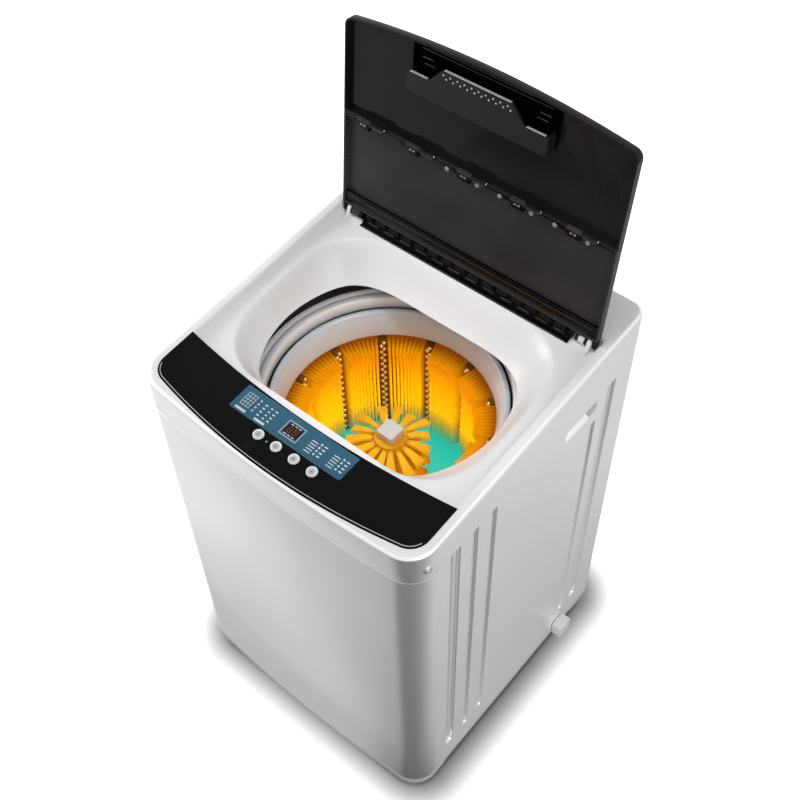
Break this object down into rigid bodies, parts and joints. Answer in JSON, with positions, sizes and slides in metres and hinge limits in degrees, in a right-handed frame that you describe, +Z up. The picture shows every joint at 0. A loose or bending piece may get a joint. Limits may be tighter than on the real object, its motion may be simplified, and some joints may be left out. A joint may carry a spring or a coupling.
{
  "type": "top load washing machine",
  "caption": "Upright top load washing machine with a folding lid, front control panel, and a drum lined with brush panels round a central brush post.",
  "frame": {"origin": "on the floor under the middle of the whole machine's box, water spigots included", "axes": "+Z up, -Y to the front control panel, +X to the right side seen from the front"},
  "size_m": [0.546, 0.56, 1.158],
  "materials": {
    "cabinet_paint": "satin",
    "base_plastic": "matte",
    "foot_rubber": "matte",
    "handle_plastic": "matte",
    "cover_plastic": "satin",
    "screw_steel": "satin",
    "panel_black": "gloss",
    "overlay_film": "gloss",
    "display_lens": "gloss",
    "board": "matte",
    "button_plastic": "gloss",
    "lid_plastic": "gloss",
    "lid_trim": "satin",
    "pin_plastic": "satin",
    "tub_plastic": "satin",
    "ring_plastic": "satin",
    "drum_steel": "brushed",
    "cast_alloy": "cast",
    "shaft_steel": "machined",
    "bristle": "matte",
    "pulsator_plastic": "satin",
    "cap_plastic": "gloss",
    "belt_rubber": "matte",
    "hose_rubber": "matte",
    "fitting_plastic": "matte"
  },
  "bodies": {
    "cabinet": {"cabinet_shell": "cabinet_paint", "back_panel": "cabinet_paint", "base_frame": "base_plastic", "levelling_feet": "foot_rubber", "side_handle_right": "handle_plastic", "side_handle_left": "handle_plastic", "top_cover": "cover_plastic", "cover_screws": "screw_steel", "control_panel": "panel_black", "panel_overlay": "overlay_film", "display_window": "display_lens", "control_board": "board", "lid_hinge_bar": "lid_trim", "outer_tub": "tub_plastic", "tub_cover": "tub_plastic", "mounting_plate": "shaft_steel", "clutch_housing": "cast_alloy", "motor": "cast_alloy", "drive_belt": "belt_rubber", "corner_brackets": "shaft_steel", "suspension_rods": "shaft_steel", "suspension_cups": "fitting_plastic", "drain_valve": "fitting_plastic", "drain_hose": "hose_rubber", "drain_spigot": "fitting_plastic", "inlet_valve": "fitting_plastic", "cord_gland": "fitting_plastic"},
    "lid_rear": {"lid_rear_panel": "lid_plastic", "lid_hinge_pins": "pin_plastic"},
    "lid_front": {"lid_front_panel": "lid_plastic", "lid_handle_cup": "lid_trim", "lid_fold_pins": "pin_plastic"},
    "drum": {"drum_basket": "drum_steel", "balance_ring": "ring_plastic", "drum_flange": "cast_alloy", "spin_shaft": "shaft_steel", "brush_panel_01": "bristle", "brush_panel_02": "bristle", "brush_panel_03": "bristle", "brush_panel_04": "bristle", "brush_panel_05": "bristle", "brush_panel_06": "bristle", "brush_panel_07": "bristle", "brush_panel_08": "bristle", "brush_panel_09": "bristle", "brush_panel_10": "bristle", "brush_panel_11": "bristle", "brush_panel_12": "bristle", "brush_panel_13": "bristle"},
    "pulsator": {"pulsator": "pulsator_plastic", "post_brush": "bristle", "post_cap": "cap_plastic", "wash_shaft": "shaft_steel", "clutch_pulley": "cast_alloy"},
    "motor_rotor": {"motor_pulley": "cast_alloy"},
    "button_1": {"button_1": "button_plastic"},
    "button_2": {"button_2": "button_plastic"},
    "button_3": {"button_3": "button_plastic"},
    "button_4": {"button_4": "button_plastic"}
  },
  "joints": [
    {"name": "lid_close", "type": "hinge", "parent": "cabinet", "child": "lid_rear", "pos_m": [-0.013, 0.166, 0.8131], "axis": [1, 0, 0], "range_deg": [0, 99.92]},
    {"name": "lid_fold", "type": "hinge", "parent": "lid_rear", "child": "lid_front", "pos_m": [-0.013, 0.17591, 0.99099], "axis": [-1, 0, 0], "range_deg": [-140, 0]},
    {"name": "button_1_press", "type": "slide", "parent": "cabinet", "child": "button_1", "axis": [0, 0.0753, -0.9972], "range_m": [0, 0.002], "stiffness_N_per_m": 400},
    {"name": "button_2_press", "type": "slide", "parent": "cabinet", "child": "button_2", "axis": [0, 0.0753, -0.9972], "range_m": [0, 0.002], "stiffness_N_per_m": 400},
    {"name": "button_3_press", "type": "slide", "parent": "cabinet", "child": "button_3", "axis": [0, 0.0753, -0.9972], "range_m": [0, 0.002], "stiffness_N_per_m": 400},
    {"name": "button_4_press", "type": "slide", "parent": "cabinet", "child": "button_4", "axis": [0, 0.0753, -0.9972], "range_m": [0, 0.002], "stiffness_N_per_m": 400},
    {"name": "drum_spin", "type": "hinge", "parent": "cabinet", "child": "drum", "pos_m": [-0.013, -0.016, 0.42], "axis": [0, 0, 1], "continuous": true},
    {"name": "pulsator_spin", "type": "hinge", "parent": "cabinet", "child": "pulsator", "pos_m": [-0.013, -0.016, 0.42], "axis": [0, 0, 1], "continuous": true},
    {"name": "motor_spin", "type": "hinge", "parent": "cabinet", "child": "motor_rotor", "pos_m": [-0.013, 0.136, 0.2], "axis": [0, 0, 1], "continuous": true}
  ],
  "couplings": [
    {"joint": "motor_spin", "follows": "pulsator_spin", "ratio": 3.5455}
  ]
}
